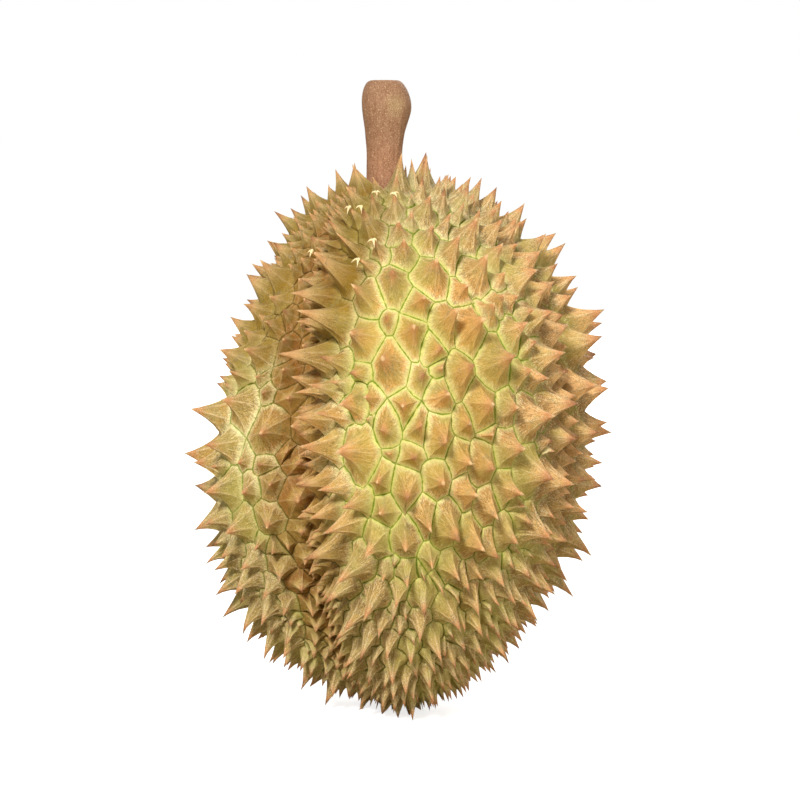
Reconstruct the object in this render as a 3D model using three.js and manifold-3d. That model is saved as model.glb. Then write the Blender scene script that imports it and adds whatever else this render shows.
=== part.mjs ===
// A whole durian, standing upright on its blossom end, with the stalk it was cut by.
//
// Millimetres, +Z up, -Y to the front. The origin is the middle of the flat spot that the fruit rests on.
// The rind is an egg-shaped body with hollows between its lobes, covered in thorns. Directions from the
// middle of the body are unit vectors: z is the rise, from -1 at the blossom end to 1 at the stalk, and
// the turn is the angle round the upright axis, 0 at the front and positive towards +X.
import * as THREE from "three";
import { ConvexHull } from "three/addons/math/ConvexHull.js";
import { mergeVertices } from "three/addons/utils/BufferGeometryUtils.js";
import Module from "manifold-3d";

// The body under the thorns.
const BODY_HALF_HEIGHT = 125.8;
const BODY_BASE = 6; // how far the body stays above the surface, on its lowest thorns

// The core and the lobes, one over each chamber of seeds. In a level section each is a circle: reach is how
// far its middle stands from the fruit's own and girth its radius. Droop is how much further out it stands below,
// and slimness how soon it closes towards both ends: below 1 it has squarer shoulders than an ellipse.
const LOBES = [
  { name: "core", turn: 0, reach: 0, girth: 60.8, droop: 0, slimness: 1 },
  { name: "front", turn: 3, reach: 43.5, girth: 42.8, droop: 0, slimness: 0.92 },
  { name: "front right", turn: 42, reach: 34, girth: 50.8, droop: -0.05, slimness: 1.08 },
  { name: "right", turn: 104, reach: 45, girth: 44.8, droop: -0.08, slimness: 1.18 },
  { name: "right rear", turn: 165, reach: 40, girth: 44, droop: 0, slimness: 0.98 },
  { name: "left rear", turn: -128, reach: 42, girth: 40, droop: -0.04, slimness: 0.92 },
  { name: "left", turn: -74, reach: 57.5, girth: 31, droop: 0.16, slimness: 1.22 },
];
const GROOVE_SHARPNESS = 36; // higher keeps the grooves where two lobes meet deeper and sharper
const GROOVE_HALF_WIDTH = 0.36; // turn from the floor of a groove to the lobes that stand over it
const GROOVE_FULL_DEPTH = 0.14; // how much further out those lobes stand, as a share, over a full groove
const CROWN_DIMPLE = 7; // how far the middle of the crown sinks below the lobes round the stalk
const CROWN_DIMPLE_RADIUS = 15;
const CROWN_TILT = 0.13; // how far the crown slopes down to the left
const CROWN_SHIFT = -7.5; // how far the crown stands off the middle, to the right

// The thorns.
const THORN_PITCH = 0.0032; // fall in rise from one thorn of the spiral to the next, where they are largest
const FIRST_THORN_RISE = 0.97; // the spiral starts below the seat of the stalk
const LAST_THORN_RISE = -0.992; // and ends beside the thorn at the blossom end
const GOLDEN_ANGLE = Math.PI * (3 - Math.sqrt(5));
const SCATTER = 0.34; // how far a thorn strays from the spiral, as a share of the distance to its neighbours
const CROWDED_DEPTH = 0.45; // twice as many thorns grow where a groove is deeper than this
const CROWDED_TURN = 1.2; // how far round the second one starts, as a share of how far thorns stray
const GROOVE_SHORTENING = 0.3; // how much shorter thorns are on the floor of a groove
const EVENING_ROUNDS = 6; // how often each thorn then moves to the middle of the ground it has
const EVENED_RISE = 0.95; // beyond this rise they stay where they are
const CROWDING = 0.003; // how unevenly neighbours share the ground between them
const RUNT_SHARE = 0.045; // share of the corners between three thorns where a small one squeezed in
const RUNT_LIMIT = 0.85; // rise beyond which there are none
const THORN_WAYWARDNESS = 0.12; // how far each one leans its own way
const LENGTH_VARIETY = 0.1; // how far each one's length strays, as a share of it
const WAIST_SHARE = 0.45; // a thorn's ring of corners part of the way up, as a share of its foot
const NARROWEST_SIDE = 1.5; // corners closer than this are one corner, so that no thorn has a sliver of a side
const WAISTED_FOOT = 7.4; // thorns with a foot of less than this radius go straight to the tip
const THORN_FLARE = 1.6; // above 1 makes the sides hollow, so that the tip is slender

// The stalk.
const STALK_SIDES = 28;
const STALK_STEPS = 16;
const STALK_TOP = 306;
const STALK_FOOT = 243;
const SOCKET_GAP = 0.3;
const KNOB_MIDDLE = 292; // height of the swollen joint where the stalk would part from the tree
const KNOB_REACH = 9;
const KNOB_BULGE = 0.22; // how much further the joint swells on its right, as a share of its radius

const REST_BOX = 400; // a box this wide, below the surface, flattens the thorns that stand on it

const bell = (x) => Math.exp(-x * x);
const fall = (low, high, x) => THREE.MathUtils.smoothstep(x, low, high);
// The same number from 0 to 1 for the same pair, so that every build gives the same fruit.
const chance = (i, k) => THREE.MathUtils.euclideanModulo(Math.sin(i * 12.9898 + k * 78.233) * 43758.5453, 1);
const spread = (i, k) => 2 * chance(i, k) - 1;

const heading = (turn, rise) => {
  const level = Math.sqrt(1 - rise * rise);
  return new THREE.Vector3(level * Math.sin(turn), -level * Math.cos(turn), rise);
};

// How far the lobes reach in this direction, level with it.
function lobedRadius(direction, level) {
  const turn = Math.atan2(direction.x, -direction.y);
  const total = LOBES.reduce((sum, lobe) => {
    const across = turn - THREE.MathUtils.degToRad(lobe.turn);
    const halfChord = lobe.girth ** 2 - (lobe.reach * Math.sin(across)) ** 2;
    const far = halfChord > 0 ? lobe.reach * Math.cos(across) + Math.sqrt(halfChord) : 0;
    const radius = Math.max(0, far) * (1 - lobe.droop * direction.z);
    return sum + (radius * level ** lobe.slimness) ** GROOVE_SHARPNESS;
  }, 0);
  return total ** (1 / GROOVE_SHARPNESS);
}

// How deep in a groove this direction is, from 0 on a lobe to 1 on a groove's floor.
function sunkenness(direction) {
  const level = Math.hypot(direction.x, direction.y);
  const beside = [-1, 1].map((side) => {
    const turned = direction.clone().applyAxisAngle(new THREE.Vector3(0, 0, 1), side * GROOVE_HALF_WIDTH);
    return lobedRadius(turned, level);
  });
  const own = lobedRadius(direction, level);
  return own > 0 ? fall(0, GROOVE_FULL_DEPTH, (beside[0] + beside[1]) / 2 / own - 1) : 0;
}

// The point of the body in this direction from its middle.
function bodyPoint(direction) {
  const level = Math.hypot(direction.x, direction.y);
  const radius = lobedRadius(direction, level);
  const x = level > 0 ? (direction.x / level) * radius : 0;
  const y = level > 0 ? (direction.y / level) * radius : 0;
  const z = BODY_BASE + BODY_HALF_HEIGHT * (1 + direction.z);
  const tilt = CROWN_TILT * x * fall(0, 1, direction.z);
  const crown = fall(0.4, 1, direction.z);
  const dimple = crown * CROWN_DIMPLE * bell(radius / CROWN_DIMPLE_RADIUS);
  return new THREE.Vector3(x + crown * CROWN_SHIFT, y, z + tilt - dimple);
}

function bodyNormal(direction) {
  const step = 0.1; // wide enough that thorns beside a groove grow out of it, not across it
  const side = new THREE.Vector3(0, 0, 1).cross(direction);
  if (side.length() < step) side.set(0, 1, 0);
  side.normalize();
  const up = direction.clone().cross(side);
  const beside = (axis, sign) => bodyPoint(direction.clone().addScaledVector(axis, sign * step).normalize());
  const along = beside(side, 1).sub(beside(side, -1));
  const rising = beside(up, 1).sub(beside(up, -1));
  return along.cross(rising).normalize();
}

// How wide thorns are at this rise, as a share of the widest: they crowd towards both ends.
const thornWidth = (rise) =>
  1 - 0.2 * fall(0, 0.5, -rise) - 0.26 * fall(0.45, 1, -rise) - 0.25 * fall(0.6, 1, rise);

// How long thorns are at this rise, as a share of the radius of their own foot.
const thornSlenderness = (rise) => 1.5 + 0.25 * fall(0, 0.9, -rise) + 0.25 * fall(0.4, 1, rise);

// How far thorns lean along the fruit at this rise, up below the stalk and down towards the blossom end.
const thornLean = (rise) => 0.15 * fall(0.2, 0.9, rise) - 0.3 * fall(0.1, 0.5, -rise);

// One direction for each thorn, longer where the thorn takes more of the ground around it. The first is
// the seat of the stalk, which has no thorn, and the second the thorn at the blossom end.
const STALK_SEAT = 0;
function thornSeeds() {
  const seeds = [new THREE.Vector3(0, 0, 1 + CROWDING), new THREE.Vector3(0, 0, -1)];
  let rise = FIRST_THORN_RISE;
  for (let i = 0; rise > LAST_THORN_RISE; i += 1) {
    const width = thornWidth(rise);
    const stray = SCATTER * width * Math.sqrt(2 * THORN_PITCH);
    const turn = i * GOLDEN_ANGLE + (stray * spread(i, 1)) / Math.sqrt(1 - rise * rise);
    const strayed = THREE.MathUtils.clamp(rise + stray * spread(i, 2), LAST_THORN_RISE, FIRST_THORN_RISE);
    const seed = heading(turn, strayed);
    seeds.push(seed.clone().multiplyScalar(1 + CROWDING * width * width * spread(i, 3)));
    const below = Math.max(strayed - stray, LAST_THORN_RISE);
    if (sunkenness(seed) > CROWDED_DEPTH) seeds.push(heading(turn + stray * CROWDED_TURN, below));
    rise -= THORN_PITCH * width * width;
  }
  return seeds;
}

// The faces of the seeds' convex hull: a face's own direction is the corner where its three thorns meet.
const cornersBetween = (seeds) => new ConvexHull().setFromPoints(seeds).faces;

// Moves each seed to the middle of its corners, so that neighbours are nearer one size and shape.
function evenedOut(seeds) {
  const { cells } = cellsAround(seeds);
  return seeds.map((seed, i) => {
    if (Math.abs(seed.z) > EVENED_RISE || !cells[i]) return seed;
    const middle = cells[i].reduce((sum, face) => sum.add(face.normal), new THREE.Vector3());
    return middle.normalize().multiplyScalar(seed.length());
  });
}

// Adds a seed at some of the corners, for the small thorns squeezed in between three others.
function withRunts(seeds) {
  const runts = cornersBetween(seeds)
    .map((face) => face.normal.clone())
    .filter((corner) => Math.abs(corner.z) < RUNT_LIMIT)
    .sort((one, other) => one.z - other.z)
    .filter((corner, i) => chance(i, 4) < RUNT_SHARE);
  return [...seeds, ...runts];
}

// The corners round each seed, in order, anticlockwise as seen from outside.
function cellsAround(seeds) {
  const cells = seeds.map(() => null);
  const faces = cornersBetween(seeds);
  for (const face of faces) {
    for (let k = 0; k < 3; k += 1) {
      const start = face.getEdge(k);
      const seed = seeds.indexOf(start.head().point);
      if (cells[seed]) continue;
      const ring = [];
      let edge = start;
      do {
        ring.push(edge.face);
        edge = edge.next.twin;
      } while (edge !== start);
      cells[seed] = ring.reverse();
    }
  }
  return { cells, faces };
}

// The corners as points of the body, and the number of the point that stands for each.
function cornerPoints(faces) {
  const points = [];
  const numbers = new Map();
  for (const face of faces) {
    const point = bodyPoint(face.normal);
    const beside = [0, 1, 2].map((k) => numbers.get(face.getEdge(k).twin.face));
    const near = beside.find((n) => n !== undefined && points[n].distanceTo(point) < NARROWEST_SIDE);
    numbers.set(face, near ?? points.push(point) - 1);
  }
  return { points, numbers };
}

// The middle of a thorn's foot and its mean radius.
function footOf(feet, corners) {
  const middle = feet.reduce((sum, k) => sum.add(corners[k]), new THREE.Vector3()).divideScalar(feet.length);
  const radius = feet.reduce((sum, k) => sum + corners[k].distanceTo(middle), 0) / feet.length;
  return { middle, radius };
}

// The middle of a thorn a share of the way up, for a thorn that bends the way it leans.
function thornCurve(seedNumber, direction, foot) {
  const slenderness = seedNumber === STALK_SEAT ? 0 : thornSlenderness(direction.z);
  const shortening = 1 - GROOVE_SHORTENING * sunkenness(direction);
  const length = foot.radius * slenderness * shortening * (1 + LENGTH_VARIETY * spread(seedNumber, 5));
  const root = bodyNormal(direction).multiplyScalar(length);
  const lean = new THREE.Vector3(
    THORN_WAYWARDNESS * spread(seedNumber, 6),
    THORN_WAYWARDNESS * spread(seedNumber, 7),
    THORN_WAYWARDNESS * spread(seedNumber, 8) + thornLean(direction.z),
  ).multiplyScalar(length);
  return (share) => foot.middle.clone().addScaledVector(root, share).addScaledVector(lean, share * share);
}

function rindGeometry() {
  let seeds = thornSeeds();
  for (let round = 0; round < EVENING_ROUNDS; round += 1) seeds = evenedOut(seeds);
  seeds = withRunts(seeds);
  const { cells, faces } = cellsAround(seeds);
  const { points: corners, numbers } = cornerPoints(faces);
  const points = corners.flatMap((p) => p.toArray());
  const triangles = [];
  const add = (point) => points.push(point.x, point.y, point.z) / 3 - 1;

  cells.forEach((ring, seedNumber) => {
    const around = (ring ?? []).map((face) => numbers.get(face));
    const feet = around.filter((k, n) => k !== around[(n + 1) % around.length]);
    if (feet.length < 3) return;
    const foot = footOf(feet, corners);
    const middleAt = thornCurve(seedNumber, seeds[seedNumber].clone().normalize(), foot);
    const tip = add(middleAt(1));
    const waistMiddle = middleAt((1 - WAIST_SHARE) ** THORN_FLARE);
    const waistPoint = (k) => corners[k].clone().sub(foot.middle).multiplyScalar(WAIST_SHARE).add(waistMiddle);
    const waisted = foot.radius > WAISTED_FOOT;
    const waist = waisted ? feet.map((k) => add(waistPoint(k))) : feet;
    feet.forEach((k, n) => {
      const m = (n + 1) % feet.length;
      if (waisted) triangles.push(k, feet[m], waist[m], k, waist[m], waist[n]);
      triangles.push(waist[n], waist[m], tip);
    });
  });

  const geometry = new THREE.BufferGeometry();
  geometry.setAttribute("position", new THREE.Float32BufferAttribute(points, 3));
  geometry.setIndex(triangles);
  return geometry;
}

// Height and radius of the stalk from its foot to its cut end.
const STALK_OUTLINE = [
  [STALK_FOOT, 11.2],
  [249, 9.8],
  [256, 9.1],
  [264, 8.8],
  [273, 8.9],
  [281, 9.6],
  [287, 10.4],
  [293, 11.2],
  [299, 11],
  [303, 9.9],
  [305.3, 8.2],
  [STALK_TOP, 6],
];

function stalkGeometry(gap) {
  const outline = new THREE.SplineCurve(STALK_OUTLINE.map(([z, r]) => new THREE.Vector2(r, z)));
  const side = outline.getPoints(STALK_STEPS).map((p) => new THREE.Vector2(p.x + gap, p.y - gap));
  const top = new THREE.Vector2(0, STALK_TOP + gap);
  const geometry = new THREE.LatheGeometry([new THREE.Vector2(0, STALK_FOOT - gap), ...side, top], STALK_SIDES);
  geometry.rotateX(Math.PI / 2);
  const position = geometry.getAttribute("position");
  for (let i = 0; i < position.count; i += 1) {
    const swell = KNOB_BULGE * bell((position.getZ(i) - KNOB_MIDDLE) / KNOB_REACH);
    position.setX(i, position.getX(i) + swell * Math.max(0, position.getX(i)));
  }
  geometry.translate(CROWN_SHIFT, 0, 0);
  return geometry;
}

const wasm = await Module();
wasm.setup();

function solidOf(geometry) {
  const bare = new THREE.BufferGeometry().setIndex(geometry.getIndex());
  bare.setAttribute("position", geometry.getAttribute("position"));
  const merged = mergeVertices(bare, 1e-3);
  return new wasm.Manifold(
    new wasm.Mesh({
      numProp: 3,
      vertProperties: merged.getAttribute("position").array,
      triVerts: new Uint32Array(merged.getIndex().array),
    }),
  );
}

function geometryOf(solid) {
  const mesh = solid.getMesh();
  const geometry = new THREE.BufferGeometry();
  geometry.setAttribute("position", new THREE.BufferAttribute(mesh.vertProperties, 3));
  geometry.setIndex(new THREE.BufferAttribute(mesh.triVerts, 1));
  geometry.computeVertexNormals();
  return geometry;
}

function durianFruit() {
  const surface = new THREE.BoxGeometry(REST_BOX, REST_BOX, REST_BOX).translate(0, 0, -REST_BOX / 2);
  const solid = solidOf(rindGeometry()).subtract(solidOf(surface)).subtract(solidOf(stalkGeometry(SOCKET_GAP)));
  const rind = new THREE.MeshStandardMaterial({ color: 0xb59a4e, roughness: 0.72, metalness: 0 });
  const mesh = new THREE.Mesh(geometryOf(solid), rind);
  mesh.name = "spiny_rind";
  return mesh;
}

function durianStalk() {
  const bark = new THREE.MeshStandardMaterial({ color: 0xa9805a, roughness: 0.85, metalness: 0 });
  const mesh = new THREE.Mesh(geometryOf(solidOf(stalkGeometry(0))), bark);
  mesh.name = "stalk";
  return mesh;
}

const durian = new THREE.Group();
durian.add(durianFruit(), durianStalk());
export default durian;
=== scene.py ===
import math
from dataclasses import dataclass

import bmesh
import bpy
from bpy.props import FloatProperty, FloatVectorProperty, IntProperty, PointerProperty
from bpy.types import Operator, Panel, PropertyGroup
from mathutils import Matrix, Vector, noise
from mathutils.kdtree import KDTree


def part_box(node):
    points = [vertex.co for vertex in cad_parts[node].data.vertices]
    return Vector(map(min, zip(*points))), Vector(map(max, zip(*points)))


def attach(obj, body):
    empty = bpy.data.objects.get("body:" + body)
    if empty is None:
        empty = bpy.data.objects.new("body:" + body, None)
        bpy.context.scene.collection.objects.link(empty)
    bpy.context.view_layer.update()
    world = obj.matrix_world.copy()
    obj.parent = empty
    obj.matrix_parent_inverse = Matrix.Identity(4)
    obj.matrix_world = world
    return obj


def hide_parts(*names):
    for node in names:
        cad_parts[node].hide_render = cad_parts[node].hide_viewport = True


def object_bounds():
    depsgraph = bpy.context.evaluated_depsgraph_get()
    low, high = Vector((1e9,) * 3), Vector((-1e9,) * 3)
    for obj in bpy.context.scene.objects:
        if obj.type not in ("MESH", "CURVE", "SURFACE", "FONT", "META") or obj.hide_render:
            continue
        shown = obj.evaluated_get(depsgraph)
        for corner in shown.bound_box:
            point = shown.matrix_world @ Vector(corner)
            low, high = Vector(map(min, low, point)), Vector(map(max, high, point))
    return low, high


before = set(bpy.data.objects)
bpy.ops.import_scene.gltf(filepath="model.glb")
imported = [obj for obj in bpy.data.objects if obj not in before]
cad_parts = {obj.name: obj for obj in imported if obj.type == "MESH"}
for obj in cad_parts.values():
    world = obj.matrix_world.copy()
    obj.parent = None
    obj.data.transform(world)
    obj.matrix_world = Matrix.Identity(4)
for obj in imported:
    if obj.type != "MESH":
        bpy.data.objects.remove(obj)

bl_info = {
    "name": "Durian",
    "version": (1, 0, 0),
    "blender": (4, 5, 0),
    "location": "3D View > Sidebar > Durian",
    "description": "Grows a durian's spiny rind, cut stalk and torn thorn tips over the packed model",
    "category": "Add Mesh",
}

BODY = "root"
RIND_NODE = "spiny_rind"
STALK_NODE = "stalk"

CAD_BOX = [list(corner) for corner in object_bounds()]
BOX_LOW = Vector(CAD_BOX[0])
BOX_HIGH = Vector(CAD_BOX[1])

WELD = 0.00001                  # corners closer than this are one corner
FOOT_SLACK = 0.0001             # how far the stalk's lowest corners may lie apart in height

# Reading the thorns: a fold that is at least this deep is a valley between two of them.
VALLEY_FOLD = math.radians(-40)
SOCKET_MARGIN = 0.0006          # from the stalk's foot to the wall of its socket
SOCKET_SINK = 0.001             # how far below the stalk's foot its socket may reach
CUT_TIP_OVERSHOOT = 1.25        # how far a thorn pressed flat would reach if it were whole
NEIGHBOURHOOD = 0.042           # thorns nearer than this tell how sunken a thorn is
SAME_SIDE = -0.2                # least cosine between the ways that two neighbours face

# The flat pattern of a thorn's side: places from corner to corner, and shares of the way to the tip.
SIDE_COLUMNS = (0, 0.1, 0.5, 0.9, 1)
UPPER_COLUMNS = (0, 0.5, 1)
FINE_ROWS = (0.3, 0.5, 0.7, 0.87)
PLAIN_ROWS = (0.42, 0.75)
BANK_TOP = 3.2                  # the row on top of the bank, in bank widths from the valley line
BANK_LIMIT = 0.075              # a bank row takes no more than this share of the way to the tip

# The waver of the valley lines, and how much one thorn and one face differ from the next.
HUSK_MIDDLE = (0, 0, 0.13)
WAVERS_PER_METRE = 160
WAVER_GAIN = 6                  # brings the noise, which stays near its middle, to about 1
FLARE_SPREAD = 0.3
BULGE_SPREAD = 0.1
HOOK_SHARE = (0.3, 1)           # chances from which a tip hooks, and hooks fully
HOOK_POWER = 5                  # how late along the thorn the hook comes
LOW_THORNS = (0.13, 0.05)       # levels at which thorns begin to grow hollower, and are fully so

# The deep groove: where it runs at mid height, and how far it strays above and below, between which levels.
GROOVE_X = -0.047
GROOVE_HIGH_X = 0.016
GROOVE_LOW_X = 0.012
GROOVE_HIGH = (0.19, 0.25)
GROOVE_LOW = (0.16, 0.04)
BROW_OUT = 0.018                # how far beside the groove its brow stands
BROW_FOOT = (0.05, 0.09)        # levels between which the brow begins and ends
BROW_HEAD = (0.25, 0.22)

# The seat round the stalk, in shares of the way from its rim to its middle.
SEAT_LIP = 0.3
SEAT_WALL = 0.74

# Zones of the skin, in metres across or up, each from where it begins to where it is full.
LOW_ZONE = (0.165, 0.075)
CROWN_ZONE = (0.2, 0.25)
LEFT_ZONE = (-0.03, -0.08)
RIGHT_ZONE = (0.03, 0.085)
UPPER_LEFT_ZONE = (-0.058, -0.08)
UPPER_LEFT_SLOPE = 0.28         # how far that zone moves across for each metre up
UPPER_LEFT_LEVELS = (0.14, 0.19)
CLEFT_ZONE = (0.017, 0.004)     # distances from the line of the deep groove
CLEFT_LEVELS = (0.03, 0.09)
CENTRE_X = 0.014
CENTRE_ZONE = (0.055, 0.02)     # distances from the middle of the broad lobe
CENTRE_FOOT = (0.05, 0.1)
CENTRE_HEAD = (0.245, 0.2)
RED_BARK_LEVELS = (0.285, 0.262)
CUT_END_LEVELS = (0.3, 0.304)

# Bands of the skin, each by the distances where it is gone and where it is full.
VALLEY_LINE = (0.00088, 0.00048)
VALLEY_HALO = (0.0026, 0.0007)
PALE_FOOT = (0.0036, 0.0012)
PALE_RIDGE_AND_HIGHLIGHT = (0.0009, 0.0002)
LINE_WAVER = 0.0009             # how far the noise shifts the valley lines, and the bands beside them
BAND_WAVER = 0.0016

# Patches of the skin and the bark, in noise cells per metre.
BLOTCHES = 55
WAVES = 420
OLIVE_PATCHES = 75
GREEN_PATCHES = 38
STAINS = 130
RIND_SPECKS = 1500.0
BARK_SPECKS = 1700.0
BARK_FIBRES = 700.0
BARK_BLOTCHES = 90
WOOD_RINGS = 500
SHRED_FIBRES = 1400.0
FIBRES_PER_THORN = 13.0         # noise cells round a thorn, not per metre

# The finished rind keeps only what its material reads.
RIND_LAYERS = {"bank", "crest", "height", "fibre", "thorn", "hollow", "OFBake", "sharp_edge"}
ATLAS_FILL = 0.46               # how much of its own cell a thorn takes in the flat map

# The bark: how closely its grooves and its grain follow each other round the stalk and up each metre.
GROOVES_ROUND = 3.2
GROOVES_UP = 30
GRAIN_ROUND = 9
GRAIN_UP = 160
GRAIN_SHARE = 0.4               # the grain's depth as a share of the grooves' depth
CUT_EDGE = 0.002                # the grooves run out over this length below the cut end
AXIS_RADIUS = 0.001             # nearer to the axis than this the bark stays as it is
FLAT_ENOUGH = math.radians(20)  # triangles that bend less than this become four-sided faces
SQUARE_ENOUGH = math.radians(60)

# The thorns whose tips are torn are the ones nearest to these places.
TORN_PLACES = (
    (-0.016, -0.04, 0.259),
    (-0.002, -0.045, 0.255),
    (-0.024, -0.05, 0.251),
    (-0.017, -0.065, 0.243),
    (-0.007, -0.07, 0.238),
    (-0.03, -0.075, 0.229),
    (-0.018, -0.08, 0.226),
)
SHREDS_PER_TIP = 3
SHRED_ROOT = 0.0012             # how deep in the tip a shred begins
SHRED_AHEAD = 0.6               # how far a shred goes on ahead of the thorn
SHRED_ASIDE = 0.3               # how far it parts to the side at least
ASIDE_SPREAD = 0.6              # and how much further at most
SHORTEST_SHRED = 0.45           # as a share of the longest
NARROWEST_SHRED = 0.6           # as a share of the widest
SHRED_LUCK = 300                # how much the shreds of one tip differ from the next tip's
GOLDEN_TURN = math.pi * (3 - math.sqrt(5))

# The stage, and how far apart nodes are set out in their trees.
NODE_COLUMN = 220
NODE_ROW = 190
FLOOR_HALF = 30
LAMPS = (
    # name, the setting that holds its power, width, place
    ("key lamp", "key_power", 0.4, (-0.5, -1.75, 1.35)),
    ("fill lamp", "fill_power", 0.6, (1.6, -1.4, 0.1)),
    ("back lamp", "back_power", 1.2, (0.7, 1.9, 1.1)),
)


def paint(red, green, blue):
    """Turn a colour named in 0 to 255 screen values into the linear values that materials use."""
    def straight(value):
        part = value / 255
        if part <= 0.04045:
            return part / 12.92
        return ((part + 0.055) / 1.055) ** 2.4
    return (straight(red), straight(green), straight(blue))


def colour(name, description, red, green, blue):
    """Make a colour property from a name, what it paints and its 0 to 255 screen values."""
    return FloatVectorProperty(
        name=name, description=description, subtype="COLOR", size=3, min=0, max=1,
        default=paint(red, green, blue),
    )


def length(name, description, default):
    """Make a length property in metres."""
    return FloatProperty(
        name=name, description=description, default=default, min=0, unit="LENGTH", precision=5,
    )


def share(name, description, default, highest=1.0):
    """Make a property that is a plain share of something else."""
    return FloatProperty(name=name, description=description, default=default, min=0, max=highest)


def location(name, description, default):
    """Make a property for a place in metres."""
    return FloatVectorProperty(
        name=name, description=description, default=default, size=3, subtype="TRANSLATION",
        unit="LENGTH", precision=4,
    )


def strength(name, description, default):
    """Make a property for the strength of a light."""
    return FloatProperty(name=name, description=description, default=default, min=0)


def seed(description, default):
    """Make a property that picks one of many chances."""
    return IntProperty(name="Seed", description=description, default=default, min=0)


# ---------------------------------------------------------------- node writing


KIND_BY_LENGTH = {3: "VECTOR", 4: "RGBA"}


class Wire:
    """A value on its way through a node tree, so that a sum of nodes can be written as a sum."""

    def __init__(self, tree, socket):
        self.tree = tree
        self.socket = socket

    def combine(self, operation, *others):
        values = (self,) + others
        if not any(is_vector(value) for value in values):
            return add(self.tree, "ShaderNodeMath", dict(enumerate(values)), operation=operation)
        spread = [(value,) * 3 if isinstance(value, (int, float)) else value for value in values]
        return add(self.tree, "ShaderNodeVectorMath", dict(enumerate(spread)), operation=operation)

    def __add__(self, other):
        return self.combine("ADD", other)

    def __radd__(self, other):
        return self.combine("ADD", other)

    def __sub__(self, other):
        return self.combine("SUBTRACT", other)

    def __rsub__(self, other):
        return add(self.tree, "ShaderNodeMath", {0: other, 1: self}, operation="SUBTRACT")

    def __mul__(self, other):
        return self.combine("MULTIPLY", other)

    def __truediv__(self, other):
        return self.combine("DIVIDE", other)

    def __pow__(self, other):
        return self.combine("POWER", other)

    def lowest(self, other):
        return self.combine("MINIMUM", other)

    def highest(self, other):
        return self.combine("MAXIMUM", other)

    def above(self, other):
        return add(self.tree, "ShaderNodeMath", {0: self, 1: other}, operation="GREATER_THAN")

    def dot(self, other):
        return add(self.tree, "ShaderNodeVectorMath", {0: self, 1: other}, "Value", operation="DOT_PRODUCT")

    def cross(self, other):
        return add(self.tree, "ShaderNodeVectorMath", {0: self, 1: other}, operation="CROSS_PRODUCT")

    def size(self):
        return add(self.tree, "ShaderNodeVectorMath", {0: self}, "Value", operation="LENGTH")

    def unit(self):
        return add(self.tree, "ShaderNodeVectorMath", {0: self}, operation="NORMALIZE")

    def part(self, axis):
        return add(self.tree, "ShaderNodeSeparateXYZ", {0: self}, axis)


def plug(tree, value, target):
    """Feed a node's input with a wire or a plain value."""
    if isinstance(value, Wire):
        tree.links.new(value.socket, target)
    else:
        target.default_value = value


def add(tree, kind, inputs=None, output=0, **settings):
    """Add a node, set it up, feed its inputs and give back one of its outputs."""
    node = tree.nodes.new(kind)
    for key, value in settings.items():
        setattr(node, key, value)
    for key, value in (inputs or {}).items():
        plug(tree, value, node.inputs[key])
    return Wire(tree, node.outputs[output])


def kind_of(value):
    """Tell a plain value, a vector and a colour apart."""
    if isinstance(value, Wire):
        return value.socket.type
    return "VALUE" if isinstance(value, (int, float)) else KIND_BY_LENGTH[len(value)]


def is_vector(value):
    """Tell whether a value has more than one part."""
    return kind_of(value) in KIND_BY_LENGTH.values()


def blend(low, high, factor):
    """Go from one value to another by a factor from 0 to 1."""
    tree = next(value.tree for value in (low, high, factor) if isinstance(value, Wire))
    kinds = {kind_of(value) for value in (low, high)}
    if "RGBA" in kinds:
        return add(tree, "ShaderNodeMix", {0: factor, 6: low, 7: high}, 2, data_type="RGBA")
    if "VECTOR" in kinds:
        return add(tree, "ShaderNodeMix", {0: factor, 4: low, 5: high}, 1, data_type="VECTOR")
    return add(tree, "ShaderNodeMix", {0: factor, 2: low, 3: high}, 0, data_type="FLOAT")


def rise(value, start, end, low=0.0, high=1.0, shape="SMOOTHSTEP"):
    """Go from low to high while a value goes from start to end."""
    return add(
        value.tree, "ShaderNodeMapRange", {0: value, 1: start, 2: end, 3: low, 4: high},
        interpolation_type=shape, clamp=True,
    )


def grain(tree, place, scale, detail=2.0, roughness=0.5, output=0):
    """Add a noise texture read at a place."""
    inputs = {"Vector": place, "Scale": scale, "Detail": detail, "Roughness": roughness}
    return add(tree, "ShaderNodeTexNoise", inputs, output)


def chance(tree, number, row, output="Value"):
    """Give each number its own value from 0 to 1, or its own colour, the same for the same row."""
    return add(tree, "ShaderNodeTexWhiteNoise", {"W": number + row}, output, noise_dimensions="1D")


def read_number(tree, name):
    """Read a stored number in a Geometry Nodes tree."""
    return add(tree, "GeometryNodeInputNamedAttribute", {"Name": name}, data_type="FLOAT")


def read_vector(tree, name):
    """Read a stored vector in a Geometry Nodes tree."""
    return add(tree, "GeometryNodeInputNamedAttribute", {"Name": name}, data_type="FLOAT_VECTOR")


def store(geometry, name, value, kind="FLOAT", domain="CORNER"):
    """Store a value on a geometry under a name."""
    inputs = {"Geometry": geometry, "Name": name, "Value": value}
    return add(
        geometry.tree, "GeometryNodeStoreNamedAttribute", inputs, data_type=kind, domain=domain,
    )


def new_group(name, kind, inputs, outputs):
    """Start a node group with named sockets and give back the tree and its inputs."""
    tree = bpy.data.node_groups.new(name, kind)
    for label, socket, default in inputs:
        item = tree.interface.new_socket(label, in_out="INPUT", socket_type=socket)
        if default is not None:
            item.default_value = default
    for label, socket in outputs:
        tree.interface.new_socket(label, in_out="OUTPUT", socket_type=socket)
    entry = tree.nodes.new("NodeGroupInput")
    return tree, {socket.name: Wire(tree, socket) for socket in entry.outputs if socket.name}


def end_group(tree, **results):
    """Feed a node group's outputs and set its nodes out in columns from left to right."""
    leave = tree.nodes.new("NodeGroupOutput")
    for label, wire in results.items():
        plug(tree, wire, leave.inputs[label.replace("_", " ")])
    set_out(tree)


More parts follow.
